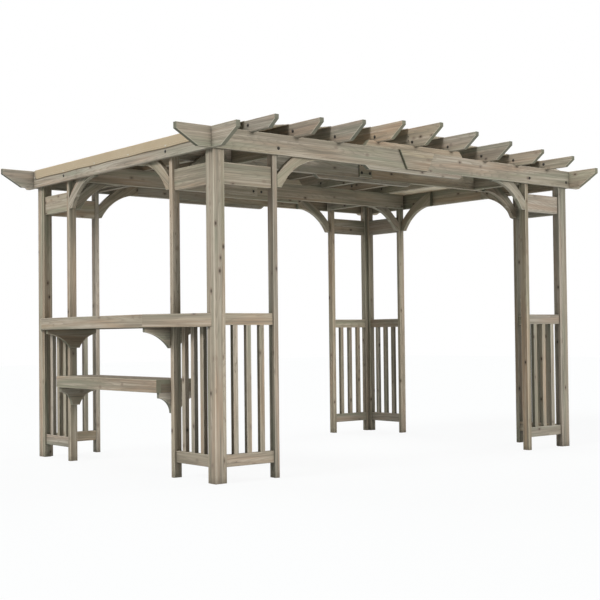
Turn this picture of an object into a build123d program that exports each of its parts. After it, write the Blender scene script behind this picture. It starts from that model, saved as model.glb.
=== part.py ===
import os

from build123d import *

# Sizes are in millimetres; the middle of the frame stands at the origin, with its front towards -Y.
frame_length = 3560
frame_depth = 2438
seat_gap = 0.3
overrun = 10
edge_ease = 3

# Corner posts: a square core with a strip on two of its sides
post_core = 62
post_strip = 28
strip_setback = 3
post_top_drop = 10

# Flank posts, one along each wall from the corner
flank_offset = 480
flank_width = 36
flank_depth = 62

# Slat panels and transoms between a corner post and its flank posts
panel_setback = 18
rail_thickness = 36
bottom_rail_foot = 100
bottom_rail_height = 78
top_rail_foot = 1008
top_rail_height = 77
slat_count = 3
slat_width = 38
slat_depth = 34
slat_tenon = 12
transom_drop = 76
transom_height = 142

# Beams on the outside of the posts, lapped over each other at the corners
beam_thickness = 36
beam_height = 135
beam_foot = 2133
tail_reach = 264
tail_nose = 40
tail_slope = 165

# Joints at the middle of the long beams: strips above and below the beam, and a plate on its face
plate_length = 1000
plate_rise = 44
plate_fall = 28
plate_top_cut = 35
plate_foot_cut = 38
key_top_width = 355
key_foot_width = 211
key_thickness = 20
inner_key_width = 132
inner_key_margin = 12
inner_key_thickness = 10

# Knee braces
brace_thickness = 36
brace_reach = 391
brace_flat = 56
brace_toe = 40
brace_toe_drop = 209
brace_heel_drop = 130
brace_seat_drop = 4
brace_lower_bow = 42
brace_upper_bow = 35

# Rafters, from the middle one outwards, each set in a shallow slot across its beams
rafter_thickness = 36
rafter_end_inset = 284
rafter_seat = 8
rafter_play = 2
rafter_heights = (141, 114, 123, 97, 78)
rafters_on_plates = 2
rafter_reach = 301
rafter_nose = 28
undercut_share = 1.4

# Counter on the left wall
counter_foot = 1000
counter_height = 86
counter_slab = 28
counter_apron = 36
counter_outer_reach = 228
counter_inner_reach = 200
counter_kink = 500
counter_outer_end = 33
counter_inner_end = 150

# Shelf below the counter
shelf_foot = 565
shelf_height = 86
shelf_slab = 28
shelf_apron = 36
shelf_outer_reach = 112
shelf_inner_reach = 144

# Brackets below the counter and the shelf: reach of the arms from the wall's outer face, and the foot
bracket_thickness = 28
counter_bracket_arms = (-198, 215)
counter_bracket_foot = (-5, 70)
counter_bracket_height = 140
counter_bracket_nose = 31
counter_bracket_bow = 23
shelf_bracket_arms = (-92, 205)
shelf_bracket_foot = (4, 69)
shelf_bracket_height = 138
shelf_bracket_nose = 36
shelf_bracket_bow = 27

# Canopy over the rafters and down the side beams
canopy_thickness = 3
canopy_inset = 25
canopy_hang = 74

half_length = frame_length / 2
half_depth = frame_depth / 2
beam_top = beam_foot + beam_height
post_top = beam_top - post_top_drop
post_width = post_core + post_strip
flank_inner = flank_offset + flank_width
plate_top = beam_top + plate_rise
inner_beam_face = flank_inner + seat_gap
transom_foot = beam_foot - transom_drop - transom_height
rafter_spacing = (half_length - rafter_end_inset) / (len(rafter_heights) - 1)

diagonal = Plane(origin=(0, 0, 0), x_dir=(0, 0, 1), z_dir=(1, -1, 0))


def block(x0, x1, y0, y1, z0, z1):
    return Pos(x0, y0, z0) * Box(x1 - x0, y1 - y0, z1 - z0, align=(Align.MIN, Align.MIN, Align.MIN))


def upright(outline, thickness):
    return Rot(90, 0, 0) * extrude(make_face(outline), amount=-thickness)


def eased(board, axis):
    return chamfer(board.edges().filter_by(axis), edge_ease)


def eased_faces(board, axis):
    levels = board.edges().group_by(axis)
    return chamfer(levels[0] + levels[-1], edge_ease)


def at_corner(shape, side_x, side_y):
    placed = Pos(-half_length, -half_depth, 0) * shape
    if side_x > 0:
        placed = mirror(placed, about=Plane.YZ)
    if side_y > 0:
        placed = mirror(placed, about=Plane.XZ)
    return placed


def across(shape):
    return mirror(shape, about=diagonal)


def front_and_back(shape):
    return [shape, mirror(shape, about=Plane.XZ)]


def left_and_right(shape):
    return [shape, mirror(shape, about=Plane.YZ)]


def save(name, shapes):
    solids = [solid for shape in shapes for solid in shape.solids()]
    export_step(Compound(children=solids), f"parts/{name}.step")


def corner_post():
    core = block(0, post_core, 0, post_core, 0, post_top)
    strip = block(post_core + seat_gap, post_width, strip_setback, post_core, 0, post_top)
    return [eased(piece, Axis.Z) for piece in (core, strip, across(strip))]


def panel_bar(foot, height):
    bar = block(
        post_width + seat_gap, flank_offset - seat_gap,
        panel_setback, panel_setback + rail_thickness, foot, foot + height,
    )
    return eased(bar, Axis.X)


def slat_panel():
    panel = panel_bar(bottom_rail_foot, bottom_rail_height) + panel_bar(top_rail_foot, top_rail_height)
    gap = (flank_offset - post_width - slat_count * slat_width) / (slat_count + 1)
    face = panel_setback + (rail_thickness - slat_depth) / 2
    foot = bottom_rail_foot + bottom_rail_height - slat_tenon
    head = top_rail_foot + slat_tenon
    for n in range(slat_count):
        start = post_width + gap + n * (gap + slat_width)
        slat = block(start, start + slat_width, face, face + slat_depth, foot, head)
        panel += eased(slat, Axis.Z)
    return panel


def knee_brace():
    toe = beam_foot - brace_toe_drop
    heel = beam_foot - brace_heel_drop
    seat = beam_foot - brace_seat_drop
    outline = Line((0, heel), (0, toe)) + Line((0, toe), (brace_toe, toe))
    outline += SagittaArc((brace_toe, toe), (brace_reach - brace_flat, seat), brace_lower_bow)
    outline += Line((brace_reach - brace_flat, seat), (brace_reach, seat))
    outline += Line((brace_reach, seat), (brace_reach, post_top))
    outline += SagittaArc((brace_reach, post_top), (0, heel), -brace_upper_bow)
    return eased_faces(upright(outline, brace_thickness), Axis.Y)


def outer_beam(half_span, lap_from, lap_to):
    end = half_span + seat_gap + beam_thickness + tail_reach
    nose = beam_top - tail_nose
    face = [(-end, beam_top), (end, beam_top), (end, nose), (end - tail_slope, beam_foot)]
    face += [(tail_slope - end, beam_foot), (-end, nose)]
    beam = eased_faces(upright(Polyline(*face, close=True), beam_thickness), Axis.Y)
    lap_end = half_span + beam_thickness + 2 * seat_gap
    lap = block(half_span, lap_end, -overrun, beam_thickness + overrun, lap_from, lap_to)
    for notch in left_and_right(lap):
        beam -= notch
    return beam


def splice_strip(level, edge, cut):
    end = plate_length / 2
    face = [(-end, level), (cut - end, edge), (end - cut, edge), (end, level)]
    return eased_faces(upright(Polyline(*face, close=True), beam_thickness), Axis.Y)


def rafter_seat_level(step):
    return plate_top if step < rafters_on_plates else beam_top


def rafter_foot(step):
    return rafter_seat_level(step) - rafter_seat + seat_gap


def rafter_top(step):
    return rafter_foot(step) + rafter_heights[step]


def rafter(step):
    foot = rafter_foot(step)
    top = rafter_top(step)
    end = half_depth + rafter_reach
    cut = end - undercut_share * (rafter_heights[step] - rafter_nose)
    nose = top - rafter_nose
    face = [(-end, top), (end, top), (end, nose), (cut, foot), (-cut, foot), (-end, nose)]
    board = eased_faces(upright(Polyline(*face, close=True), rafter_thickness), Axis.Y)
    return Pos(rafter_thickness / 2, 0, 0) * Rot(0, 0, 90) * board


def slotted(board, steps):
    half_slot = rafter_thickness / 2 + rafter_play
    for step in steps:
        level = rafter_seat_level(step)
        middle = step * rafter_spacing
        slot = block(
            middle - half_slot, middle + half_slot,
            -half_depth - overrun - beam_thickness, half_depth + overrun + beam_thickness,
            level - rafter_seat, level + overrun,
        )
        for copy in left_and_right(slot):
            board -= copy
    return board


def bracket(arms, foot, top, height, nose, bow):
    tip = top - nose
    low = top - height
    outline = Line((arms[0], top), (arms[1], top)) + Line((arms[1], top), (arms[1], tip))
    outline += SagittaArc((arms[1], tip), (foot[1], low), -bow)
    outline += Line((foot[1], low), (foot[0], low))
    outline += SagittaArc((foot[0], low), (arms[0], tip), -bow)
    outline += Line((arms[0], tip), (arms[0], top))
    board = eased_faces(upright(outline, bracket_thickness), Axis.Y)
    return front_and_back(at_corner(Pos(0, flank_inner + seat_gap, 0) * board, -1, -1))


def pocket(outer, inner, apron, foot, depth):
    end = flank_inner + seat_gap + bracket_thickness + apron
    return block(-outer + apron, inner - apron, end, frame_depth - end, foot - overrun, foot + depth)


def counter():
    inner = flank_depth + counter_inner_reach
    bar_back = panel_setback + rail_thickness + seat_gap
    flank_back = flank_depth + seat_gap
    post_edge = post_width + seat_gap
    half = [(-counter_outer_reach, counter_kink), (-seat_gap, counter_outer_end), (-seat_gap, post_edge)]
    half += [(panel_setback - seat_gap, post_edge), (panel_setback - seat_gap, flank_offset - seat_gap)]
    half += [(-seat_gap, flank_offset - seat_gap), (-seat_gap, flank_inner + seat_gap)]
    half += [(flank_back, flank_inner + seat_gap), (flank_back, flank_offset - seat_gap)]
    half += [(bar_back, flank_offset - seat_gap), (bar_back, counter_inner_end)]
    half += [(inner, counter_kink)]
    far = [(x, frame_depth - y) for x, y in reversed(half)]
    body = extrude(make_face(Polyline(*half, *far, close=True)), amount=counter_height)
    body = eased(Pos(0, 0, counter_foot) * body, Axis.Y)
    depth = counter_height - counter_slab
    return body - pocket(counter_outer_reach, inner, counter_apron, counter_foot, depth)


def shelf():
    inner = flank_depth + shelf_inner_reach
    end = flank_inner + seat_gap
    top = shelf_foot + shelf_height
    body = eased(block(-shelf_outer_reach, inner, end, frame_depth - end, shelf_foot, top), Axis.Y)
    return body - pocket(shelf_outer_reach, inner, shelf_apron, shelf_foot, shelf_height - shelf_slab)


def canopy():
    edge = half_length + beam_thickness + 2 * seat_gap
    hem = beam_top - canopy_hang
    right = []
    for step in range(len(rafter_heights)):
        middle = step * rafter_spacing
        level = rafter_top(step) + seat_gap
        if step > 0:
            right.append((middle - rafter_thickness / 2, level))
        right.append((middle + rafter_thickness / 2, level))
    under = right + [(edge, beam_top + seat_gap), (edge, hem)]
    outside = edge + canopy_thickness
    over = [(x, z + canopy_thickness) for x, z in right]
    over += [(outside, beam_top + seat_gap + canopy_thickness), (outside, hem)]
    face = [(-x, z) for x, z in reversed(under)] + under
    face += list(reversed(over)) + [(-x, z) for x, z in over]
    width = frame_depth - 2 * canopy_inset
    return Pos(0, -width / 2, 0) * upright(Polyline(*face, close=True), width)


os.makedirs("parts", exist_ok=True)

# Pieces that come once for each corner
corners = {"front_left": (-1, -1), "front_right": (1, -1), "back_left": (-1, 1), "back_right": (1, 1)}
post = corner_post()
flank = eased(block(flank_offset, flank_inner, 0, flank_depth, 0, post_top), Axis.Z)
panel = slat_panel()
transom = panel_bar(transom_foot, transom_height)
wall_brace = Pos(flank_inner + seat_gap, 0, 0) * knee_brace()
inward_brace = Pos(flank_depth + seat_gap, flank_offset, 0) * knee_brace()
for corner, (side_x, side_y) in corners.items():
    save(f"corner_post_{corner}", [at_corner(piece, side_x, side_y) for piece in post])
    save(f"flank_posts_{corner}", [at_corner(piece, side_x, side_y) for piece in (flank, across(flank))])
    save(f"long_panel_{corner}", [at_corner(panel, side_x, side_y)])
    save(f"side_panel_{corner}", [at_corner(across(panel), side_x, side_y)])
    save(f"transoms_{corner}", [at_corner(piece, side_x, side_y) for piece in (transom, across(transom))])
    braces = (wall_brace, across(wall_brace), inward_brace)
    save(f"knee_braces_{corner}", [at_corner(piece, side_x, side_y) for piece in braces])

# Outer beams: the long ones notched from below and jointed at the middle, the side ones notched from above
beam_steps = range(rafters_on_plates, len(rafter_heights))
plate_steps = range(rafters_on_plates)
lap_level = beam_foot + beam_height / 2
seam = block(
    -seat_gap / 2, seat_gap / 2, -overrun, beam_thickness + overrun, beam_foot - overrun, beam_top + overrun
)
long_beam = outer_beam(half_length, beam_foot - overrun, lap_level) - seam
long_beam = slotted(Pos(0, -half_depth - seat_gap - beam_thickness, 0) * long_beam, beam_steps)
side_beam = outer_beam(half_depth, lap_level - seat_gap, beam_top + overrun)
side_beams = left_and_right(Pos(-half_length - seat_gap, 0, 0) * Rot(0, 0, 90) * side_beam)
for side, beam in zip(("front", "back"), front_and_back(long_beam)):
    save(f"{side}_beam", [beam])
save("left_beam", [side_beams[0]])
save("right_beam", [side_beams[1]])

# Inner beams along the length, and the ties from them to the long walls
inner_end = half_length - brace_thickness - seat_gap
inner_front = -half_depth + inner_beam_face
inner_back = inner_front + beam_thickness
inner_half = eased(block(-inner_end, -seat_gap / 2, inner_front, inner_back, beam_foot, beam_top), Axis.X)
for side, half in zip(("front", "back"), front_and_back(slotted(inner_half, beam_steps))):
    save(f"inner_beam_{side}", left_and_right(half))
tie = block(
    inner_beam_face, inner_beam_face + beam_thickness,
    brace_thickness + seat_gap, flank_inner, beam_foot, beam_top,
)
tie = eased(tie, Axis.Y)
save("corner_ties", [at_corner(tie, side_x, side_y) for side_x, side_y in corners.values()])

# Strips and plates at the joints
above = slotted(splice_strip(beam_top + seat_gap, plate_top, plate_top_cut), plate_steps)
below = splice_strip(beam_foot - seat_gap, beam_foot - plate_fall, plate_foot_cut)
for name, place in (("outer", -half_depth - seat_gap - beam_thickness), ("inner", inner_front)):
    strips = [Pos(0, place, 0) * strip for strip in (above, below)]
    save(f"{name}_splice_plates", [copy for strip in strips for copy in front_and_back(strip)])
key_face = [(-key_foot_width / 2, beam_foot), (key_foot_width / 2, beam_foot)]
key_face += [(key_top_width / 2, beam_top), (-key_top_width / 2, beam_top)]
key = eased_faces(upright(Polyline(*key_face, close=True), key_thickness), Axis.Y)
key_place = -half_depth - 2 * seat_gap - beam_thickness - key_thickness
inner_key = block(
    -inner_key_width / 2, inner_key_width / 2,
    inner_front - seat_gap - inner_key_thickness, inner_front - seat_gap,
    beam_foot + inner_key_margin, beam_top - inner_key_margin,
)
keys = [Pos(0, key_place, 0) * key, eased_faces(inner_key, Axis.Y)]
save("key_plates", [copy for plate in keys for copy in front_and_back(plate)])

# Rafters
save("rafter_middle", [rafter(0)])
for step in range(1, len(rafter_heights)):
    save(f"rafter_pair_{step}", left_and_right(Pos(step * rafter_spacing, 0, 0) * rafter(step)))

# Counter, shelf and their brackets
save("counter_top", [at_corner(counter(), -1, -1)])
save("lower_shelf", [at_corner(shelf(), -1, -1)])
counter_brackets = bracket(
    counter_bracket_arms, counter_bracket_foot, counter_foot - seat_gap,
    counter_bracket_height, counter_bracket_nose, counter_bracket_bow,
)
save("counter_brackets", counter_brackets)
shelf_brackets = bracket(
    shelf_bracket_arms, shelf_bracket_foot, shelf_foot - seat_gap,
    shelf_bracket_height, shelf_bracket_nose, shelf_bracket_bow,
)
save("shelf_brackets", shelf_brackets)

# Canopy
save("canopy", [canopy()])
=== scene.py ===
import math

import bpy
from mathutils import Euler, Matrix, Vector


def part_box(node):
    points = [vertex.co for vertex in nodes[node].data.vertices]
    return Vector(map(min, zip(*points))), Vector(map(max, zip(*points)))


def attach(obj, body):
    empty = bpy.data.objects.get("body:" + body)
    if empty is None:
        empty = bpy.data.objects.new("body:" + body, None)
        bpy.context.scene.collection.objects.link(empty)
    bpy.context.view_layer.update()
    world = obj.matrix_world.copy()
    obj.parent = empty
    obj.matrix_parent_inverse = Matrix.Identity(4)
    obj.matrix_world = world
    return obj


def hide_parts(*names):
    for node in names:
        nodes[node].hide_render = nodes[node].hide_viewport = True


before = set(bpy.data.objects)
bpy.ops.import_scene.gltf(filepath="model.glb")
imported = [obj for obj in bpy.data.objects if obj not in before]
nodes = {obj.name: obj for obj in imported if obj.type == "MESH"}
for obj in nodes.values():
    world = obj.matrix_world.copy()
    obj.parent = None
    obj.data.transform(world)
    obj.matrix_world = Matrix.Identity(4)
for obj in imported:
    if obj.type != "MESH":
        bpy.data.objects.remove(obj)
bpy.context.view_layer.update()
print("frame loaded:", len(nodes), "nodes")


def hexColor(code):
    parts = [int(code[i:i + 2], 16) / 255 for i in (1, 3, 5)]
    return [p / 12.92 if p <= 0.04045 else ((p + 0.055) / 1.055) ** 2.4 for p in parts] + [1.0]


def addNode(tree, kind, settings=None, links=None):
    node = tree.nodes.new(kind)
    for name, value in (settings or {}).items():
        if isinstance(name, int) or name in node.inputs:
            node.inputs[name].default_value = value
        else:
            setattr(node, name, value)
    for name, source in (links or {}).items():
        tree.links.new(source, node.inputs[name])
    return node


def newMaterial(name):
    material = bpy.data.materials.new(name)
    material.use_nodes = True
    material.node_tree.nodes.clear()
    return material, material.node_tree


def boxOf(node):
    low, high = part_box(node)
    return Vector(low), Vector(high)


# places read from the frame, in metres
postLow = boxOf("corner_post_front_left")[0]
halfLength, halfDepth = -postLow.x, -postLow.y
beamLow, beamHigh = boxOf("front_beam")
innerLow, innerHigh = boxOf("inner_beam_front")
sideBeamLow, sideBeamHigh = boxOf("left_beam")


# timber: planed softwood under a thin grey-brown stain, some seasons outdoors. The eye gets a matt board with
# soft streaks along the grain, pink and green-grey zones, small dark knots, hairline checks, pale rubbed
# edges that carry a painted highlight, darker sawn ends, and painted shade darkening the nooks.
stain = {
    "mid": "#A49988", "pale": "#C0B4A5", "dark": "#7C7366", "pink": "#AA9480", "green": "#8A8C7A",
    "straw": "#B0A286", "rim": "#85776A", "knot": "#4B4238", "check": "#544B40", "sawn": "#6B6B5C",
    # the near-black green is painted shade, laid into nooks and recesses
    # the pale edge colour is wear together with a painted highlight
    "rubbedAndHighlight": "#D0C6B4", "soil": "#5F574A", "nookShade": "#2F332C",
    "logSpread": 41.0,       # how far apart the boards lie in the log
    "ringCount": 26,         # level lines over the slow field, some 7 mm apart on a flat face
    "ringBend": 0.045,       # how far a knot pushes them aside
    "knotLength": 110, "knotWidth": 70,      # mm, one cell of the pattern that may hold a knot
    "knotShare": 0.45,       # of the cells hold one
    "knotRandomness": 0.95,
    "checkLevel": 0.5, "checkHalf": 0.006,   # the level line along which the wood splits, and its half width
    "boardLight": (0.90, 1.08), "boardWarmth": (0.90, 1.20),
    "nookShadeReach": 0.50,      # m, how far about a nook the painted shade reaches
    "nookSamples": 6,
    "roughness": 0.78, "ior": 1.45, "specular": 0.3, "bumpStrength": 0.3, "bumpDepth": 0.001,
}
# length along the grain and width across it in mm, detail and roughness of each pattern
stainPatterns = {
    "heart": (1500, 95, 1.0, 0.45), "zone": (1400, 110, 2.0, 0.50), "tint": (900, 75, 1.0, 0.50),
    "glow": (1100, 60, 1.0, 0.50),
    "streak": (700, 21, 3.0, 0.60), "fibre": (420, 6, 4.0, 0.65), "speck": (60, 2.5, 3.0, 0.70),
    "split": (380, 14, 1.0, 0.50),
}
# colour, pattern, where on the pattern it starts and is full, and how much of it there is then
stainLayers = (
    ("pink", "tint", 0.51, 0.65, 0.90), ("green", "tint", 0.48, 0.35, 0.75),
    ("straw", "glow", 0.58, 0.74, 0.32),
    ("pale", "zone", 0.52, 0.72, 0.65), ("dark", "zone", 0.46, 0.28, 0.60),
    ("dark", "streak", 0.48, 0.33, 0.75), ("pale", "streak", 0.53, 0.68, 0.70),
    ("dark", "rings", 0.50, 0.98, 0.42),
    ("dark", "fibre", 0.50, 0.30, 0.65), ("pale", "fibre", 0.54, 0.72, 0.50),
    ("dark", "speck", 0.42, 0.28, 0.50),
)
# where each wear, painted highlight and painted shade starts and is full on its own measure, and how much
# there is then
wear = {
    "check": (0.56, 0.64, 0.75),      # paleness of the zone
    "sawn": (0.42, 0.47, 0.82),       # how far the face looks along the grain
    # pale eased edges: wear and a painted highlight
    "rubbedAndHighlight": (0.74, 0.71, 0.50),     # largest share of one axis: eased edges look between two
    "soil": (0.045, 0.0, 0.45),       # m above the floor
    # painted shade: the less open the place, the darker it is painted
    "nookShade": (0.80, 0.20, 0.55),      # how open the place is
}
knotMarks = {"rim": (0.28, 0.10), "knot": (0.14, 0.06)}      # where each starts and is full, in cells
stainRelief = {"fibre": 0.6, "knot": -0.8, "check": -1.5, "seam": -2.0}      # beside the rings' own height


def makeFigure():
    group = bpy.data.node_groups.new("greyStainedFigure", "ShaderNodeTree")
    face = group.interface
    face.new_socket("Grain", in_out="INPUT", socket_type="NodeSocketVector")
    face.new_socket("Board", in_out="INPUT", socket_type="NodeSocketColor")
    # one input carries painted shade for the nooks
    for label in ("End", "RubbedAndHighlight", "Soil", "NookShade", "Seam"):
        face.new_socket(label, in_out="INPUT", socket_type="NodeSocketFloat")
    face.new_socket("Color", in_out="OUTPUT", socket_type="NodeSocketColor")
    face.new_socket("Height", in_out="OUTPUT", socket_type="NodeSocketFloat")
    enter, leave = addNode(group, "NodeGroupInput"), addNode(group, "NodeGroupOutput")
    shade = {key: hexColor(code) for key, code in stain.items() if isinstance(code, str)}

    # each board is cut from another part of the log
    log = addNode(
        group, "ShaderNodeVectorMath", {"operation": "SCALE", "Scale": stain["logSpread"]},
        {0: enter.outputs["Board"]})
    place = addNode(
        group, "ShaderNodeVectorMath", {"operation": "ADD"}, {0: enter.outputs["Grain"], 1: log.outputs[0]})
    field = {}
    for key, (along, across, detail, rough) in stainPatterns.items():
        size = (1000 / along, 1000 / across, 1000 / across)
        scaled = addNode(group, "ShaderNodeMapping", {"Scale": size}, {"Vector": place.outputs[0]})
        noise = addNode(
            group, "ShaderNodeTexNoise", {"Scale": 1.0, "Detail": detail, "Roughness": rough},
            {"Vector": scaled.outputs[0]})
        field[key] = noise.outputs["Fac"]

    # knots sit in some cells of a stretched pattern, a dark heart in a brown rim
    size = (1000 / stain["knotLength"], 1000 / stain["knotWidth"], 1000 / stain["knotWidth"])
    cell = addNode(group, "ShaderNodeMapping", {"Scale": size}, {"Vector": place.outputs[0]})
    knots = addNode(
        group, "ShaderNodeTexVoronoi", {"Scale": 1.0, "Randomness": stain["knotRandomness"]},
        {"Vector": cell.outputs[0]})
    pick = addNode(group, "ShaderNodeSeparateColor", links={"Color": knots.outputs["Color"]})
    held = addNode(
        group, "ShaderNodeMath", {"operation": "LESS_THAN", 1: stain["knotShare"]}, {0: pick.outputs["Red"]})
    marks = {}
    for key, (start, full) in knotMarks.items():
        near = addNode(
            group, "ShaderNodeMapRange", {"From Min": start, "From Max": full},
            {"Value": knots.outputs["Distance"]})
        mark = addNode(
            group, "ShaderNodeMath", {"operation": "MULTIPLY"}, {0: near.outputs[0], 1: held.outputs[0]})
        marks[key] = mark.outputs[0]

    # growth rings are the level lines of a slow field, bent round the knots
    bent = addNode(
        group, "ShaderNodeMath", {"operation": "MULTIPLY_ADD", 1: stain["ringBend"]},
        {0: marks["rim"], 2: field["heart"]})
    turns = addNode(
        group, "ShaderNodeMath", {"operation": "MULTIPLY", 1: stain["ringCount"]}, {0: bent.outputs[0]})
    field["rings"] = addNode(
        group, "ShaderNodeMath", {"operation": "FRACT"}, {0: turns.outputs[0]}).outputs[0]

    color = shade["mid"]
    for key, pattern, start, full, most in stainLayers:
        amount = addNode(
            group, "ShaderNodeMapRange", {"From Min": start, "From Max": full, "To Max": most},
            {"Value": field[pattern]})
        layer = addNode(group, "ShaderNodeMix", {"data_type": "RGBA", 7: shade[key]}, {0: amount.outputs[0]})
        if isinstance(color, list):
            layer.inputs[6].default_value = color
        else:
            group.links.new(color, layer.inputs[6])
        color = layer.outputs[2]

    # hairline checks run along the grain where the zones are pale
    level = addNode(
        group, "ShaderNodeMath", {"operation": "COMPARE", 1: stain["checkLevel"], 2: stain["checkHalf"]},
        {0: field["split"]})
    start, full, most = wear["check"]
    dry = addNode(
        group, "ShaderNodeMapRange", {"From Min": start, "From Max": full, "To Max": most},
        {"Value": field["zone"]})
    check = addNode(
        group, "ShaderNodeMath", {"operation": "MULTIPLY"}, {0: level.outputs[0], 1: dry.outputs[0]})
    marks["check"] = check.outputs[0]
    # the real marks are mixed over the grain, and the painted shade for the nooks with them
    for key, amount in (("rim", marks["rim"]), ("knot", marks["knot"]), ("check", marks["check"]),
                        ("rubbedAndHighlight", enter.outputs["RubbedAndHighlight"]), ("sawn", enter.outputs["End"]),
                        ("soil", enter.outputs["Soil"]), ("nookShade", enter.outputs["NookShade"]),
                        ("knot", enter.outputs["Seam"])):
        layer = addNode(group, "ShaderNodeMix", {"data_type": "RGBA", 7: shade[key]}, {0: amount, 6: color})
        color = layer.outputs[2]

    # one board is a little lighter, warmer or greyer than the next
    own = addNode(group, "ShaderNodeSeparateColor", links={"Color": enter.outputs["Board"]})
    tone = addNode(group, "ShaderNodeHueSaturation", links={"Color": color})
    for label, span, share in (("Value", "boardLight", "Green"), ("Saturation", "boardWarmth", "Blue")):
        least, most = stain[span]
        amount = addNode(
            group, "ShaderNodeMapRange", {"To Min": least, "To Max": most}, {"Value": own.outputs[share]})
        group.links.new(amount.outputs[0], tone.inputs[label])
    group.links.new(tone.outputs[0], leave.inputs["Color"])

    height = field["rings"]
    for key, source in (("fibre", field["fibre"]), ("knot", marks["knot"]), ("check", marks["check"]),
                        ("seam", enter.outputs["Seam"])):
        height = addNode(
            group, "ShaderNodeMath", {"operation": "MULTIPLY_ADD", 1: stainRelief[key]},
            {0: source, 2: height}).outputs[0]
    group.links.new(height, leave.inputs["Height"])
    return group


figure = makeFigure()
alongX, alongY, alongZ = (0, 0, 0), (0, 0, -math.pi / 2), (0, math.pi / 2, 0)
wide = 10.0      # m, a cell that holds the whole part
away = 5.0       # m, past the part, where no board ends


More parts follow.
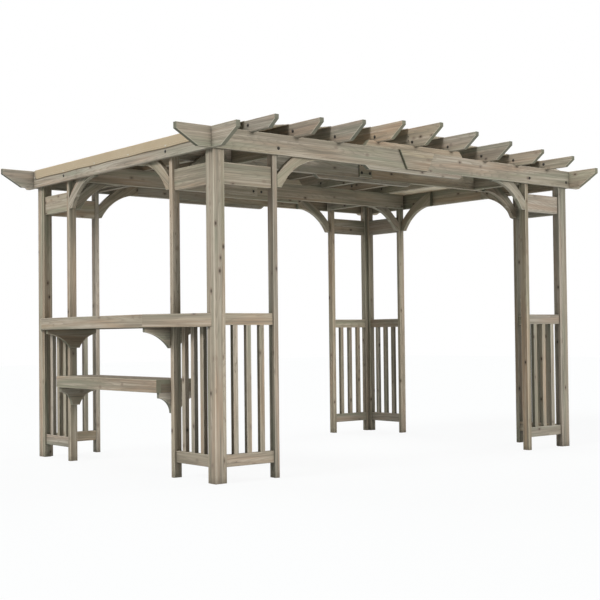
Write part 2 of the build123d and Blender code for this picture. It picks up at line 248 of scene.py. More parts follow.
def makeTimber(name, seed, ways, beyond=None, cross=None):
    # each way has the turn that lays its grain along X, and the cells that part its boards;
    # past beyond (axis, middle, reach) the second way holds;
    # on end faces a board lies across inside cross (middle, reach, top), a darker board with painted shade on
    # it
    material, tree = newMaterial(name)
    out = addNode(tree, "ShaderNodeOutputMaterial")
    place = addNode(tree, "ShaderNodeTexCoord").outputs["Object"]
    parts = addNode(tree, "ShaderNodeSeparateXYZ", links={"Vector": place})
    normal = addNode(tree, "ShaderNodeNewGeometry").outputs["True Normal"]
    found = []
    for way in ways:
        turn, shift = way["turn"], way.get("shift", (0, 0, 0))
        start, cell = way.get("start", (away, away, away)), way.get("cell", (wide, wide, wide))
        grain = addNode(tree, "ShaderNodeMapping", {"Rotation": turn, "Location": shift}, {"Vector": place})
        length = Euler(turn).to_matrix().transposed() @ Vector((1, 0, 0))
        end = addNode(tree, "ShaderNodeVectorMath", {"operation": "DOT_PRODUCT", 1: length}, {0: normal})
        own = addNode(tree, "ShaderNodeVectorMath", {"operation": "SUBTRACT", 1: start}, {0: place})
        own = addNode(tree, "ShaderNodeVectorMath", {"operation": "DIVIDE", 1: cell}, {0: own.outputs[0]})
        index = addNode(tree, "ShaderNodeVectorMath", {"operation": "FLOOR"}, {0: own.outputs[0]})
        found.append((grain.outputs[0], end.outputs["Value"], index.outputs[0], own.outputs[0], cell[0]))
    grain, end, index = found[0][:3]
    seam = None
    if len(ways) > 2:
        # splayed edges run askew, one way or the other
        side = addNode(tree, "ShaderNodeSeparateXYZ", links={"Vector": normal})
        slant = addNode(
            tree, "ShaderNodeMath", {"operation": "MULTIPLY"}, {0: side.outputs["X"], 1: side.outputs["Y"]})
        slanted = boards["slant"]
        for turned, test, limit in ((found[2], "GREATER_THAN", slanted), (found[3], "LESS_THAN", -slanted)):
            askew = addNode(
                tree, "ShaderNodeMath", {"operation": test, 1: limit}, {0: slant.outputs[0]}).outputs[0]
            grain = addNode(
                tree, "ShaderNodeMix", {"data_type": "VECTOR"}, {0: askew, 4: grain, 5: turned[0]}).outputs[1]
            end = addNode(
                tree, "ShaderNodeMix", {"data_type": "FLOAT"}, {0: askew, 2: end, 3: turned[1]}).outputs[0]
    if beyond:
        axis, middle, reach = beyond
        off = addNode(tree, "ShaderNodeMath", {"operation": "SUBTRACT", 1: middle}, {0: parts.outputs[axis]})
        off = addNode(tree, "ShaderNodeMath", {"operation": "ABSOLUTE"}, {0: off.outputs[0]})
        step = addNode(
            tree, "ShaderNodeMath", {"operation": "GREATER_THAN", 1: reach}, {0: off.outputs[0]}).outputs[0]
        second = found[1]
        grain = addNode(
            tree, "ShaderNodeMix", {"data_type": "VECTOR"}, {0: step, 4: grain, 5: second[0]}).outputs[1]
        end = addNode(
            tree, "ShaderNodeMix", {"data_type": "FLOAT"}, {0: step, 2: end, 3: second[1]}).outputs[0]
        index = addNode(
            tree, "ShaderNodeMix", {"data_type": "VECTOR"}, {0: step, 4: index, 5: second[2]}).outputs[1]
        if ways[1].get("planks"):
            across = addNode(tree, "ShaderNodeSeparateXYZ", links={"Vector": second[3]})
            edge = addNode(
                tree, "ShaderNodeMath", {"operation": "PINGPONG", 1: 0.5}, {0: across.outputs["X"]})
            start, full = (half / second[4] for half in boards["plankLine"])
            line = addNode(
                tree, "ShaderNodeMapRange", {"From Min": start, "From Max": full}, {"Value": edge.outputs[0]})
            seam = addNode(
                tree, "ShaderNodeMath", {"operation": "MULTIPLY"}, {0: line.outputs[0], 1: step}).outputs[0]
    # sawn ends look along the grain, and eased edges, rubbed thin and given a painted highlight, halfway
    # between two axes
    end = addNode(tree, "ShaderNodeMath", {"operation": "ABSOLUTE"}, {0: end})
    facing = addNode(tree, "ShaderNodeVectorMath", {"operation": "ABSOLUTE"}, {0: normal})
    axes = addNode(tree, "ShaderNodeSeparateXYZ", links={"Vector": facing.outputs[0]})
    high = addNode(
        tree, "ShaderNodeMath", {"operation": "MAXIMUM"}, {0: axes.outputs["X"], 1: axes.outputs["Y"]})
    high = addNode(
        tree, "ShaderNodeMath", {"operation": "MAXIMUM"}, {0: high.outputs[0], 1: axes.outputs["Z"]})
    # ambient occlusion darkens corners, recesses and gaps between parts: this is painted shade
    nook = addNode(
        tree, "ShaderNodeAmbientOcclusion",
        {"samples": stain["nookSamples"], "Distance": stain["nookShadeReach"]})
    worn = {}
    for key, source in (("sawn", end.outputs[0]), ("rubbedAndHighlight", high.outputs[0]), ("soil", parts.outputs["Z"]),
                        ("nookShade", nook.outputs["AO"])):
        start, full, most = wear[key]
        amount = addNode(
            tree, "ShaderNodeMapRange", {"From Min": start, "From Max": full, "To Max": most},
            {"Value": source})
        worn[key] = amount.outputs[0]
    if cross:
        middle, reach, top = cross
        endwise = addNode(
            tree, "ShaderNodeMath", {"operation": "GREATER_THAN", 1: boards["endwise"]}, {0: end.outputs[0]})
        inside = addNode(
            tree, "ShaderNodeMath", {"operation": "COMPARE", 1: middle, 2: reach}, {0: parts.outputs["X"]})
        below = addNode(tree, "ShaderNodeMath", {"operation": "LESS_THAN", 1: top}, {0: parts.outputs["Z"]})
        zone = endwise.outputs[0]
        for test in (inside, below):
            zone = addNode(
                tree, "ShaderNodeMath", {"operation": "MULTIPLY"}, {0: zone, 1: test.outputs[0]}).outputs[0]
        grain = addNode(
            tree, "ShaderNodeMix", {"data_type": "VECTOR"}, {0: zone, 4: grain, 5: place}).outputs[1]
        # the crossing board gets no sawn colour, and a set darkening that is partly a darker board and partly
        # painted shade
        for key, amount in (("sawn", 0.0), ("nookShade", boards["endBoardDarkAndShade"])):
            mixed = addNode(tree, "ShaderNodeMix", {"data_type": "FLOAT", 3: amount}, {0: zone, 2: worn[key]})
            worn[key] = mixed.outputs[0]
    board = addNode(tree, "ShaderNodeTexWhiteNoise", {"noise_dimensions": "4D", "W": seed}, {"Vector": index})
    wood = addNode(tree, "ShaderNodeGroup", {"node_tree": figure})
    for label, source in (("Grain", grain), ("Board", board.outputs["Color"]), ("End", worn["sawn"]),
                          ("RubbedAndHighlight", worn["rubbedAndHighlight"]), ("Soil", worn["soil"]), ("NookShade", worn["nookShade"]),
                          ("Seam", seam)):
        if source:
            tree.links.new(source, wood.inputs[label])
    bump = addNode(
        tree, "ShaderNodeBump", {"Strength": stain["bumpStrength"], "Distance": stain["bumpDepth"]},
        {"Height": wood.outputs["Height"]})
    shader = addNode(
        tree, "ShaderNodeBsdfPrincipled",
        {"Roughness": stain["roughness"], "IOR": stain["ior"], "Specular IOR Level": stain["specular"]},
        {"Base Color": wood.outputs["Color"], "Normal": bump.outputs[0]})
    tree.links.new(shader.outputs[0], out.inputs["Surface"])
    return material


# where one board of a node ends and the next begins, in metres in from the outside of its corner or edge
boards = {
    "postCore": 0.0621, "flankClear": 0.2, "wallBoard": 0.072, "wallBrace": 0.049,
    "firstSlat": 0.1245, "slatPitch": 0.107, "railMiddle": 0.593, "railClear": 0.413,
    "braceSlope": math.radians(36), "counterSplay": math.radians(64), "splayShift": (1.1, 0.0, 0.45),
    "counterPlank": 0.1225, "shelfPlank": 0.106, "plankSkin": 0.0015, "plankLine": (0.0022, 0.0010),
    # the shelf's end board is darkened: partly a darker board, partly painted shade
    "shelfApron": 0.036, "shelfSlab": 0.028, "endBoardDarkAndShade": 0.68,
    "firstSeed": 0.3, "seedStep": 1.7,
    "slant": 0.2, "endwise": 0.9,        # of a face's way: askew, and square to the grain
}


def timberWays(name):
    sideX = 1 if name.endswith("right") else -1
    sideY = 1 if "back" in name else -1

    def inFrom(endwise, frontwise):
        return (sideX * (halfLength - endwise), sideY * (halfDepth - frontwise), away)

    if name.startswith("corner_post"):
        return [dict(turn=alongZ, start=inFrom(boards["postCore"], boards["postCore"]))], None
    if name.startswith("flank_posts"):
        return [dict(turn=alongZ, start=inFrom(boards["flankClear"], boards["flankClear"]))], None
    if name.startswith("transoms"):
        sides = dict(turn=alongY, start=(0, away, away))
        return [dict(turn=alongX), sides], ("X", 0, halfLength - boards["wallBoard"])
    if name.startswith("knee_braces"):
        slope = boards["braceSlope"]
        first = dict(turn=(0, -sideX * slope, 0), start=inFrom(away, boards["flankClear"]))
        other = dict(turn=(sideY * slope, 0, -math.pi / 2))
        return [first, other], ("X", 0, halfLength - boards["wallBrace"])
    if "_panel_" in name:
        pitch, first = boards["slatPitch"], boards["firstSlat"]
        slats = dict(turn=alongZ, start=inFrom(first, first), cell=(pitch, pitch, wide))
        level = alongX if name.startswith("long") else alongY
        rails = dict(turn=level, start=(away, away, boards["railMiddle"]))
        return [slats, rails], ("Z", boards["railMiddle"], boards["railClear"])
    if name in ("counter_top", "lower_shelf"):
        low, high = boxOf(name)
        plank = boards["counterPlank" if name == "counter_top" else "shelfPlank"]
        planks = dict(turn=alongY, start=(low.x, away, away), cell=(plank, wide, wide), planks=True)
        askew = []
        if name == "counter_top":
            splay, shift = boards["counterSplay"], boards["splayShift"]
            askew = [dict(turn=(0, 0, side * splay), shift=shift) for side in (1, -1)]
        return [dict(turn=alongY), planks] + askew, ("Z", 0, high.z - boards["plankSkin"])
    turn = alongY if name.startswith(("left", "right", "rafter", "corner_ties")) else alongX
    if "splice" in name:
        return [dict(turn=turn, start=(away, 0, (beamLow.z + beamHigh.z) / 2))], None
    whole, halves, rows = (away, away, away), (0, away, away), (away, 0, away)
    split = {"corner_ties": (0, 0, away), "rafter_middle": whole, "left_beam": whole, "right_beam": whole}
    start = split.get(name, halves if "beam" in name or "rafter" in name else rows)
    return [dict(turn=turn, start=start)], None


def dressTimber():
    seed = boards["firstSeed"]
    for name in sorted(nodes):
        if name == "canopy":
            continue
        ways, beyond = timberWays(name)
        mesh = nodes[name].data
        mesh.materials.clear()
        cross = None
        if name == "lower_shelf":
            low, high = boxOf(name)
            reach = (high.x - low.x) / 2 - boards["shelfApron"]
            cross = ((low.x + high.x) / 2, reach, high.z - boards["shelfSlab"])
        mesh.materials.append(makeTimber("greyStainedSoftwood_" + name, seed, ways, beyond, cross))
        seed += boards["seedStep"]
    print("timber dressed:", len(nodes) - 1, "nodes")


dressTimber()


# canopy: woven polyester stretched over the rafters, turned down over the side beams and hemmed all round
canopyCloth = {
    "thickness": 0.0012, "sag": 0.009, "edgePull": 0.008, "fold": 0.006, "lift": 0.0006,
    "solidSheet": 0.003,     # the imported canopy's thickness, inside which the cloth stays
    "beamClear": 0.002, "hemClear": 0.0005, "halfBay": 0.19, "hangReach": 0.07, "scallop": 0.004,
    "baySteps": 10, "sideSteps": 8, "depthSteps": 60, "foldTurns": (0.5, 1.0, 1.5), "hemWidth": 0.028,
    # the pale underside colour is painted light
    "thread": "#D2BE9F", "gap": "#BCA88A", "worn": "#DACAB0", "stitch": "#D9CBB0", "backing": "#F8EEDB",
    # the dark band along every edge of the cloth is a painted shadow line
    "edgeShadowLine": "#7D6F59", "edgeShadowWidth": 0.005, "widths": 3, "seamHalf": 0.014,
    "hemShade": 0.35, "seamShade": 0.9, "stitchRow": 0.85, "stitchHalf": 0.0013, "stitchGap": 0.4,
    "fadeScale": 2.6,        # faded patches in a metre
    "fade": (0.35, 0.75, 0.35),      # where it starts, is full, and how much of it there is then
    "threadSpacing": 5,      # mm, drawn coarse so that the weave shows
    "stitchLength": 9,       # mm, drawn coarse as well
    "letThrough": 0.2, "underside": -0.3, "roughness": 0.85, "ior": 1.45, "specular": 0.2, "sheen": 0.15,
    "bumpStrength": 0.25, "bumpDepth": 0.0008, "seamRise": 1.5, "weaveWander": 0.4,
}
studs = {"pitch": 0.48, "perSide": 6, "level": 0.018}    # level is up from the cloth's lower edge


def makeCanopyCloth(clothWidth):
    material, tree = newMaterial("wovenPolyesterCanopy")
    out = addNode(tree, "ShaderNodeOutputMaterial")
    flat = addNode(tree, "ShaderNodeUVMap", {"uv_map": "cut"}).outputs[0]
    hem = addNode(tree, "ShaderNodeAttribute", {"attribute_name": "fromEdge"}).outputs["Fac"]
    waveUnit = 2 * math.pi / 20      # the wave texture's scale for one band in a metre
    waveScale = waveUnit / (canopyCloth["threadSpacing"] / 1000)
    waves = []
    for direction in ("X", "Y"):
        wave = addNode(
            tree, "ShaderNodeTexWave",
            {"bands_direction": direction, "Scale": waveScale, "Distortion": canopyCloth["weaveWander"]},
            {"Vector": flat})
        waves.append(wave.outputs["Fac"])
    weave = addNode(tree, "ShaderNodeMath", {"operation": "MULTIPLY"}, {0: waves[0], 1: waves[1]}).outputs[0]
    cloud = addNode(
        tree, "ShaderNodeTexNoise", {"Scale": canopyCloth["fadeScale"], "Detail": 6.0, "Roughness": 0.7},
        {"Vector": flat})
    start, full, most = canopyCloth["fade"]
    faded = addNode(
        tree, "ShaderNodeMapRange", {"From Min": start, "From Max": full, "To Max": most},
        {"Value": cloud.outputs["Fac"]})
    color = addNode(
        tree, "ShaderNodeMix",
        {"data_type": "RGBA", 6: hexColor(canopyCloth["gap"]), 7: hexColor(canopyCloth["thread"])},
        {0: weave})
    color = addNode(
        tree, "ShaderNodeMix", {"data_type": "RGBA", 7: hexColor(canopyCloth["worn"])},
        {0: faded.outputs[0], 6: color.outputs[2]})
    # widths sewn side by side; the hem and the seams are double, a row of stitches holds each
    along = addNode(tree, "ShaderNodeSeparateXYZ", links={"Vector": flat})
    seam = addNode(
        tree, "ShaderNodeMath", {"operation": "PINGPONG", 1: clothWidth / canopyCloth["widths"] / 2},
        {0: along.outputs["X"]}).outputs[0]
    rows, layers, shades = [], [], []
    for spread, reach, share in ((hem, canopyCloth["hemWidth"], canopyCloth["hemShade"]),
                                 (seam, canopyCloth["seamHalf"], canopyCloth["seamShade"])):
        row = addNode(
            tree, "ShaderNodeMath",
            {"operation": "COMPARE", 1: reach * canopyCloth["stitchRow"], 2: canopyCloth["stitchHalf"]},
            {0: spread})
        layer = addNode(tree, "ShaderNodeMath", {"operation": "LESS_THAN", 1: reach}, {0: spread})
        rows.append(row.outputs[0])
        layers.append(layer.outputs[0])
        shaded = addNode(tree, "ShaderNodeMath", {"operation": "MULTIPLY", 1: share}, {0: layer.outputs[0]})
        shades.append(shaded.outputs[0])
    row = addNode(tree, "ShaderNodeMath", {"operation": "MAXIMUM"}, {0: rows[0], 1: rows[1]})
    double = addNode(tree, "ShaderNodeMath", {"operation": "MAXIMUM"}, {0: layers[0], 1: layers[1]})
    thick = addNode(tree, "ShaderNodeMath", {"operation": "MAXIMUM"}, {0: shades[0], 1: shades[1]})
    color = addNode(
        tree, "ShaderNodeMix", {"data_type": "RGBA", 7: hexColor(canopyCloth["gap"])},
        {0: thick.outputs[0], 6: color.outputs[2]})
    stitchScale = waveUnit / (canopyCloth["stitchLength"] / 1000)
    dash = addNode(
        tree, "ShaderNodeTexWave", {"bands_direction": "DIAGONAL", "Scale": stitchScale}, {"Vector": flat})
    dash = addNode(
        tree, "ShaderNodeMath", {"operation": "GREATER_THAN", 1: canopyCloth["stitchGap"]},
        {0: dash.outputs["Fac"]})
    sewn = addNode(tree, "ShaderNodeMath", {"operation": "MULTIPLY"}, {0: row.outputs[0], 1: dash.outputs[0]})
    color = addNode(
        tree, "ShaderNodeMix", {"data_type": "RGBA", 7: hexColor(canopyCloth["stitch"])},
        {0: sewn.outputs[0], 6: color.outputs[2]})
    # the underside is painted paler: painted light on the cloth's shaded underside
    normal = addNode(tree, "ShaderNodeNewGeometry").outputs["True Normal"]
    facing = addNode(tree, "ShaderNodeSeparateXYZ", links={"Vector": normal})
    under = addNode(
        tree, "ShaderNodeMath", {"operation": "LESS_THAN", 1: canopyCloth["underside"]},
        {0: facing.outputs["Z"]})
    color = addNode(
        tree, "ShaderNodeMix", {"data_type": "RGBA", 7: hexColor(canopyCloth["backing"])},
        {0: under.outputs[0], 6: color.outputs[2]})
    # a dark band along every edge: a painted shadow line under the hem
    edgeShadow = addNode(
        tree, "ShaderNodeMath", {"operation": "LESS_THAN", 1: canopyCloth["edgeShadowWidth"]}, {0: hem})
    color = addNode(
        tree, "ShaderNodeMix", {"data_type": "RGBA", 7: hexColor(canopyCloth["edgeShadowLine"])},
        {0: edgeShadow.outputs[0], 6: color.outputs[2]})
    height = addNode(
        tree, "ShaderNodeMath", {"operation": "MULTIPLY_ADD", 1: canopyCloth["seamRise"]},
        {0: double.outputs[0], 2: weave})
    bump = addNode(
        tree, "ShaderNodeBump",
        {"Strength": canopyCloth["bumpStrength"], "Distance": canopyCloth["bumpDepth"]},
        {"Height": height.outputs[0]})
    cloth = addNode(
        tree, "ShaderNodeBsdfPrincipled",
        {"Roughness": canopyCloth["roughness"], "IOR": canopyCloth["ior"],
         "Specular IOR Level": canopyCloth["specular"], "Sheen Weight": canopyCloth["sheen"]},
        {"Base Color": color.outputs[2], "Normal": bump.outputs[0]})
    through = addNode(tree, "ShaderNodeBsdfTranslucent", links={"Color": color.outputs[2]})
    both = addNode(
        tree, "ShaderNodeMixShader", {0: canopyCloth["letThrough"]},
        {1: cloth.outputs[0], 2: through.outputs[0]})
    tree.links.new(both.outputs[0], out.inputs["Surface"])
    return material


def rafterTops():
    tops = []
    for step in range(5):
        low, high = boxOf("rafter_middle" if step == 0 else "rafter_pair_%d" % step)
        tops.append((high.x - rafterHalf, high.z))
    return [(-x, z) for x, z in reversed(tops[1:])] + tops


rafterHalf = boxOf("rafter_middle")[1].x
rafterPlaces = rafterTops()
canopyLow, canopyHigh = boxOf("canopy")


def canopyProfile():
    lift = canopyCloth["lift"] + canopyCloth["thickness"] / 2
    fold = canopyCloth["fold"]
    edgeX = canopyHigh.x - canopyCloth["solidSheet"] + lift
    edgeZ = sideBeamHigh.z + lift + canopyCloth["beamClear"]
    stops = [(-edgeX + fold, edgeZ)]
    for x, z in rafterPlaces:
        stops += [(x - rafterHalf, z + lift), (x + rafterHalf, z + lift)]
    stops.append((edgeX - fold, edgeZ))
    points = []
    for (x0, z0), (x1, z1) in zip(stops, stops[1:]):
        onRafter = x1 - x0 < 3 * rafterHalf
        count = 2 if onRafter else canopyCloth["baySteps"]
        for i in range(count):
            t = i / count
            dip = 0 if onRafter else canopyCloth["sag"] * 4 * t * (1 - t)
            points.append((x0 + (x1 - x0) * t, z0 + (z1 - z0) * t - dip))
    points.append(stops[-1])
    hem, top, steps = canopyLow.z + canopyCloth["hemClear"], edgeZ - fold, canopyCloth["sideSteps"]
    turns = [(1 - math.sin(turn), 1 - math.cos(turn)) for turn in canopyCloth["foldTurns"]]
    side = [(edgeX - fold * x, edgeZ - fold * z) for x, z in turns]
    side += [(edgeX, top - (top - hem) * i / steps) for i in range(steps + 1)]
    return [(-x, z) for x, z in reversed(side)] + points + side


def makeCanopy():
    profile = canopyProfile()
    run = [0.0]
    for (x0, z0), (x1, z1) in zip(profile, profile[1:]):
        run.append(run[-1] + math.hypot(x1 - x0, z1 - z0))
    depth = canopyHigh.y - canopyLow.y
    count = canopyCloth["depthSteps"]
    points, cut, fromEdge = [], [], []
    for j in range(count + 1):
        t = j / count
        for (x, z), along in zip(profile, run):
            pull = 0.0
            if abs(x) < rafterPlaces[-1][0]:
                gap = min(abs(x - place) for place, top in rafterPlaces)
                pull = canopyCloth["edgePull"] * min(1.0, (gap / canopyCloth["halfBay"]) ** 2)
            y = canopyLow.y + pull + (depth - 2 * pull) * t
            # the lower edge lifts a little between the studs
            hang = 0.0
            if abs(x) > -sideBeamLow.x:
                hang = max(0.0, 1 - (z - canopyLow.z) / canopyCloth["hangReach"])
            z += canopyCloth["scallop"] * hang * math.sin(math.pi * (y / studs["pitch"] - 0.5)) ** 2
            points.append((x, y, z))
            cut.append((along, y))
            fromEdge.append(min(along, run[-1] - along, depth * t, depth * (1 - t)))
    across = len(profile)
    faces = []
    for j in range(count):
        for i in range(across - 1):
            k = j * across + i
            faces.append((k, k + 1, k + 1 + across, k + across))
    mesh = bpy.data.meshes.new("canopyCloth")
    mesh.from_pydata(points, [], faces)
    layer = mesh.uv_layers.new(name="cut")
    for loop in mesh.loops:
        layer.data[loop.index].uv = cut[loop.vertex_index]
    edge = mesh.attributes.new("fromEdge", "FLOAT", "POINT")
    edge.data.foreach_set("value", fromEdge)
    mesh.polygons.foreach_set("use_smooth", [True] * len(faces))
    canopy = bpy.data.objects.new("canopyCloth", mesh)
    bpy.context.collection.objects.link(canopy)
    mesh.materials.append(makeCanopyCloth(run[-1]))
    wall = canopy.modifiers.new("thickness", "SOLIDIFY")
    wall.thickness = canopyCloth["thickness"]
    wall.offset = 0.0
    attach(canopy, "root")
    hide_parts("canopy")
    print("canopy made: cut %.2f x %.2f m" % (run[-1], depth))


makeCanopy()


# bolts: black zinc domed heads on washers; screws are smaller; studs on the cloth are pale zinc
fasteners = {
    "bolt": {"Head Width": 0.016, "Head Rise": 0.005, "Washer Width": 0.022, "Washer Rise": 0.003},
    "screw": {"Head Width": 0.008, "Head Rise": 0.0015, "Washer Width": 0.010, "Washer Rise": 0.001},
    "stud": {"Head Width": 0.011, "Head Rise": 0.003, "Washer Width": 0.013, "Washer Rise": 0.001},
    "boltUp": 0.045, "plateBoltDown": 0.008, "beamBoltUp": 0.042, "beamBoltDown": 0.03,
    "cornerBolt": 0.038, "flankBolt": 0.502, "jointBolt": 0.042, "innerKey": 0.0103,
    "screwsUp": (0.052, 0.082), "screwAside": 0.04,
    "washerSides": 20, "headSides": 16, "headRings": 8,
}
# zinc plating, a dull sheen with rubbed patches: dark and bright colour, roughness and metal of each
zinc = {
    "blackZinc": ("#1E1C1A", "#4A443C", 0.5, 0.6), "paleZinc": ("#B4B0A4", "#DBD7CC", 0.4, 0.4),
    "wearSize": 4,           # mm, one rubbed patch
    "wear": (0.35, 0.8),     # where it starts and is full
}


def makeZinc(name):
    dark, bright, rough, metal = zinc[name]
    material, tree = newMaterial(name)
    out = addNode(tree, "ShaderNodeOutputMaterial")
    place = addNode(tree, "ShaderNodeTexCoord").outputs["Object"]
    patch = addNode(
        tree, "ShaderNodeTexNoise", {"Scale": 1000 / zinc["wearSize"], "Detail": 3.0}, {"Vector": place})
    start, full = zinc["wear"]
    amount = addNode(
        tree, "ShaderNodeMapRange", {"From Min": start, "From Max": full}, {"Value": patch.outputs["Fac"]})
    color = addNode(
        tree, "ShaderNodeMix", {"data_type": "RGBA", 6: hexColor(dark), 7: hexColor(bright)},
        {0: amount.outputs[0]})
    shader = addNode(
        tree, "ShaderNodeBsdfPrincipled", {"Roughness": rough, "Metallic": metal},
        {"Base Color": color.outputs[2]})
    tree.links.new(shader.outputs[0], out.inputs["Surface"])
    return material


def makeHeads(name, material):
    # a domed head on a washer, turned to each point's way
    tree = bpy.data.node_groups.new(name, "GeometryNodeTree")
    face = tree.interface
    face.new_socket("Geometry", in_out="INPUT", socket_type="NodeSocketGeometry")
    for label in fasteners["bolt"]:
        face.new_socket(label, in_out="INPUT", socket_type="NodeSocketFloat")
    face.new_socket("Geometry", in_out="OUTPUT", socket_type="NodeSocketGeometry")
    enter, leave = addNode(tree, "NodeGroupInput"), addNode(tree, "NodeGroupOutput")
    rim = addNode(
        tree, "ShaderNodeMath", {"operation": "MULTIPLY", 1: 0.5}, {0: enter.outputs["Washer Width"]})
    washer = addNode(
        tree, "GeometryNodeMeshCylinder", {"Vertices": fasteners["washerSides"]},
        {"Radius": rim.outputs[0], "Depth": enter.outputs["Washer Rise"]})
    radius = addNode(
        tree, "ShaderNodeMath", {"operation": "MULTIPLY", 1: 0.5}, {0: enter.outputs["Head Width"]})
    ball = addNode(
        tree, "GeometryNodeMeshUVSphere",
        {"Segments": fasteners["headSides"], "Rings": fasteners["headRings"]},
        {"Radius": radius.outputs[0]})
    flatness = addNode(
        tree, "ShaderNodeMath", {"operation": "DIVIDE"},
        {0: enter.outputs["Head Rise"], 1: radius.outputs[0]})
    squash = addNode(tree, "ShaderNodeCombineXYZ", {"X": 1.0, "Y": 1.0}, {"Z": flatness.outputs[0]})
    dome = addNode(
        tree, "GeometryNodeTransform", links={"Geometry": ball.outputs[0], "Scale": squash.outputs[0]})
    both = addNode(tree, "GeometryNodeJoinGeometry")
    tree.links.new(washer.outputs[0], both.inputs[0])
    tree.links.new(dome.outputs[0], both.inputs[0])
    way = addNode(tree, "GeometryNodeInputNamedAttribute", {"data_type": "FLOAT_VECTOR", "Name": "way"})
    turn = addNode(tree, "FunctionNodeAlignRotationToVector", {"axis": "Z"}, {"Vector": way.outputs[0]})
    spread = addNode(
        tree, "GeometryNodeInstanceOnPoints",
        links={"Points": enter.outputs["Geometry"], "Instance": both.outputs[0], "Rotation": turn.outputs[0]})
    real = addNode(tree, "GeometryNodeRealizeInstances", links={"Geometry": spread.outputs[0]})
    smooth = addNode(tree, "GeometryNodeSetShadeSmooth", links={"Geometry": real.outputs[0]})
    finish = addNode(tree, "GeometryNodeSetMaterial", {"Material": material}, {"Geometry": smooth.outputs[0]})
    tree.links.new(finish.outputs[0], leave.inputs[0])
    return tree


def setHeads(name, places, tree, sizes):
    mesh = bpy.data.meshes.new(name + "Places")
    mesh.from_pydata([place for place, way in places], [], [])
    ways = mesh.attributes.new("way", "FLOAT_VECTOR", "POINT")
    ways.data.foreach_set("vector", [part for place, way in places for part in way])
    piece = bpy.data.objects.new(name, mesh)
    bpy.context.collection.objects.link(piece)
    maker = piece.modifiers.new("heads", "NODES")
    maker.node_group = tree
    for item in tree.interface.items_tree:
        if item.in_out == "INPUT" and item.name in sizes:
            maker[item.identifier] = sizes[item.name]
    shown = bpy.data.meshes.new_from_object(piece.evaluated_get(bpy.context.evaluated_depsgraph_get()))
    piece.modifiers.remove(maker)
    piece.data = shown
    shown.name = name
    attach(piece, "root")
    print(name, "set:", len(places))


def boltPlaces():
    places = []
    beamPlane, innerPlane = (beamLow.y + beamHigh.y) / 2, (innerLow.y + innerHigh.y) / 2
    for step, (x, z) in enumerate(rafterPlaces):
        fromMiddle = abs(step - len(rafterPlaces) // 2)
        foot = boxOf("rafter_pair_%d" % fromMiddle if fromMiddle else "rafter_middle")[0].z
        up = foot + fasteners["boltUp"] - (fasteners["plateBoltDown"] if fromMiddle < 2 else 0)
        for plane in (beamPlane, innerPlane, -innerPlane, -beamPlane):
            for side in (-1, 1):
                places.append(((x + side * rafterHalf, plane, up), (side, 0, 0)))
    level, upper = beamLow.z + fasteners["beamBoltUp"], beamHigh.z - fasteners["beamBoltDown"]
    keyFace = innerLow.y - fasteners["innerKey"]
    for side in (-1, 1):
        for reach in (fasteners["cornerBolt"], fasteners["flankBolt"]):
            x = side * (halfLength - reach)
            places += [((x, beamLow.y, level), (0, -1, 0)), ((x, -beamLow.y, level), (0, 1, 0))]
        y = side * (halfDepth - fasteners["flankBolt"])
        places += [((sideBeamLow.x, y, level), (-1, 0, 0)), ((-sideBeamLow.x, y, level), (1, 0, 0))]
        x = side * fasteners["jointBolt"]
        for out in (-1, 1):
            for z in (level, upper):
                places += [((x, out * -keyFace, z), (0, out, 0)), ((x, out * -innerHigh.y, z), (0, -out, 0))]
    return places


def screwPlaces():
    places = []
    foot = boxOf("rafter_middle")[0].z
    beamPlane, innerPlane = (beamLow.y + beamHigh.y) / 2, (innerLow.y + innerHigh.y) / 2
    for plane in (beamPlane, innerPlane, -innerPlane, -beamPlane):
        for side in (-1, 1):
            for up in fasteners["screwsUp"]:
                aside = math.copysign(fasteners["screwAside"], -plane)
                places.append(((side * rafterHalf, plane + aside, foot + up), (side, 0, 0)))
    return places


def studPlaces():
    edgeX = canopyHigh.x - canopyCloth["solidSheet"] + canopyCloth["lift"] + canopyCloth["thickness"]
    ways = [n - (studs["perSide"] - 1) / 2 for n in range(studs["perSide"])]
    level = canopyLow.z + studs["level"]
    return [((side * edgeX, n * studs["pitch"], level), (side, 0, 0)) for n in ways for side in (-1, 1)]


blackHeads = makeHeads("domedHeads", makeZinc("blackZinc"))
paleHeads = makeHeads("clothStuds", makeZinc("paleZinc"))
setHeads("frameBolts", boltPlaces(), blackHeads, fasteners["bolt"])
setHeads("rafterScrews", screwPlaces(), blackHeads, fasteners["screw"])
setHeads("canopyStuds", studPlaces(), paleHeads, fasteners["stud"])


# floor and light: a low window to the front, a higher one to the left, wide ones behind and to the right,
# and a faint sky
studio = {
    "sky": 0.14, "skyTint": "#D6E9EF", "floor": "#C9CFCF",
    # the way the light falls, its height and width in degrees, and its power
    "windows": {
        "frontWindow": (0, 1, 6, 13, 2.15), "leftWindow": (1, 0, 34, 22, 2.52),
        "backWindow": (0, -1, 36, 40, 1.25), "rightWindow": (-1, 0, 36, 40, 1.25),
    },
    "floorGlow": 0.88, "floorShine": 1.03, "floorReach": 30, "floorLevel": -0.001,
}


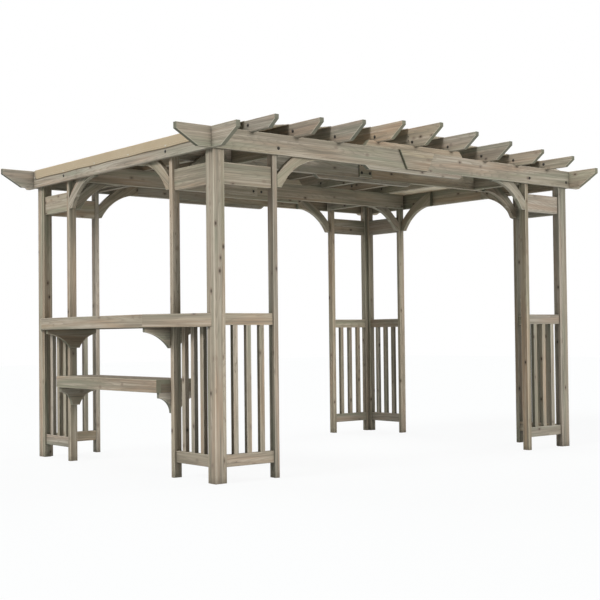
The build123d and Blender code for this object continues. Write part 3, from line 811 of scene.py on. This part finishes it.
def makeStudio():
    world = bpy.data.worlds.new("softStudio")
    bpy.context.scene.world = world
    world.use_nodes = True
    material, floorTree = newMaterial("paleFloor")
    shown = {}
    for tree in (world.node_tree, floorTree):
        tree.nodes.clear()
        path = addNode(tree, "ShaderNodeLightPath")
        seen = path.outputs["Is Camera Ray"]
        for ray in ("Is Glossy Ray", "Is Transmission Ray"):
            seen = addNode(
                tree, "ShaderNodeMath", {"operation": "MAXIMUM"}, {0: seen, 1: path.outputs[ray]}).outputs[0]
        shown[tree] = seen
    tree = world.node_tree
    out = addNode(tree, "ShaderNodeOutputWorld")
    white = addNode(tree, "ShaderNodeBackground", {"Color": (1, 1, 1, 1), "Strength": 1.0})
    sky = addNode(
        tree, "ShaderNodeBackground", {"Color": hexColor(studio["skyTint"]), "Strength": studio["sky"]})
    both = addNode(
        tree, "ShaderNodeMixShader", links={0: shown[tree], 1: sky.outputs[0], 2: white.outputs[0]})
    tree.links.new(both.outputs[0], out.inputs["Surface"])

    tree = floorTree
    out = addNode(tree, "ShaderNodeOutputMaterial")
    matt = addNode(tree, "ShaderNodeBsdfDiffuse", {"Color": hexColor(studio["floor"])})
    glow = addNode(tree, "ShaderNodeEmission", {"Color": (1, 1, 1, 1), "Strength": studio["floorShine"]})
    amount = addNode(
        tree, "ShaderNodeMath", {"operation": "MULTIPLY", 1: studio["floorGlow"]}, {0: shown[tree]})
    both = addNode(
        tree, "ShaderNodeMixShader", links={0: amount.outputs[0], 1: matt.outputs[0], 2: glow.outputs[0]})
    tree.links.new(both.outputs[0], out.inputs["Surface"])
    mesh = bpy.data.meshes.new("floor")
    reach, level = studio["floorReach"], studio["floorLevel"]
    corners = [(x * reach, y * reach, level) for x, y in ((-1, -1), (1, -1), (1, 1), (-1, 1))]
    mesh.from_pydata(corners, [], [(0, 1, 2, 3)])
    mesh.materials.append(material)
    floor = bpy.data.objects.new("floor", mesh)
    bpy.context.collection.objects.link(floor)

    for name, (x, y, height, width, power) in studio["windows"].items():
        rise = math.radians(height)
        lamp = bpy.data.lights.new(name, "SUN")
        lamp.energy = power
        lamp.angle = math.radians(width)
        window = bpy.data.objects.new(name, lamp)
        falls = Vector((x * math.cos(rise), y * math.cos(rise), -math.sin(rise)))
        window.rotation_euler = falls.to_track_quat("-Z", "Y").to_euler()
        bpy.context.collection.objects.link(window)


# the photograph's view, fitted to the edges of the posts and beams
camera = {
    "place": (-5.997, -7.250, 0.9366), "azimuth": 39.27, "elevation": 1.46, "roll": -0.63,
    "lens": 69.47, "sensor": 36, "shiftX": -0.00255, "shiftY": 0.0097,
}


def makeCamera():
    az, el, roll = (math.radians(camera[key]) for key in ("azimuth", "elevation", "roll"))
    ahead = Vector((math.sin(az) * math.cos(el), math.cos(az) * math.cos(el), math.sin(el)))
    right = Vector((math.cos(az), -math.sin(az), 0))
    up = right.cross(ahead)
    level, tip = math.cos(roll), math.sin(roll)
    turned = (right * level + up * tip, up * level - right * tip, -ahead)
    view = bpy.data.cameras.new("photoView")
    view.lens = camera["lens"]
    view.sensor_width = camera["sensor"]
    view.sensor_fit = "HORIZONTAL"
    view.shift_x, view.shift_y = camera["shiftX"], camera["shiftY"]
    eye = bpy.data.objects.new("photoView", view)
    eye.matrix_world = Matrix.Translation(camera["place"]) @ Matrix(turned).transposed().to_4x4()
    bpy.context.collection.objects.link(eye)
    bpy.context.scene.camera = eye


makeStudio()
makeCamera()
bpy.context.scene.view_settings.view_transform = "Standard"
print("studio and camera set")
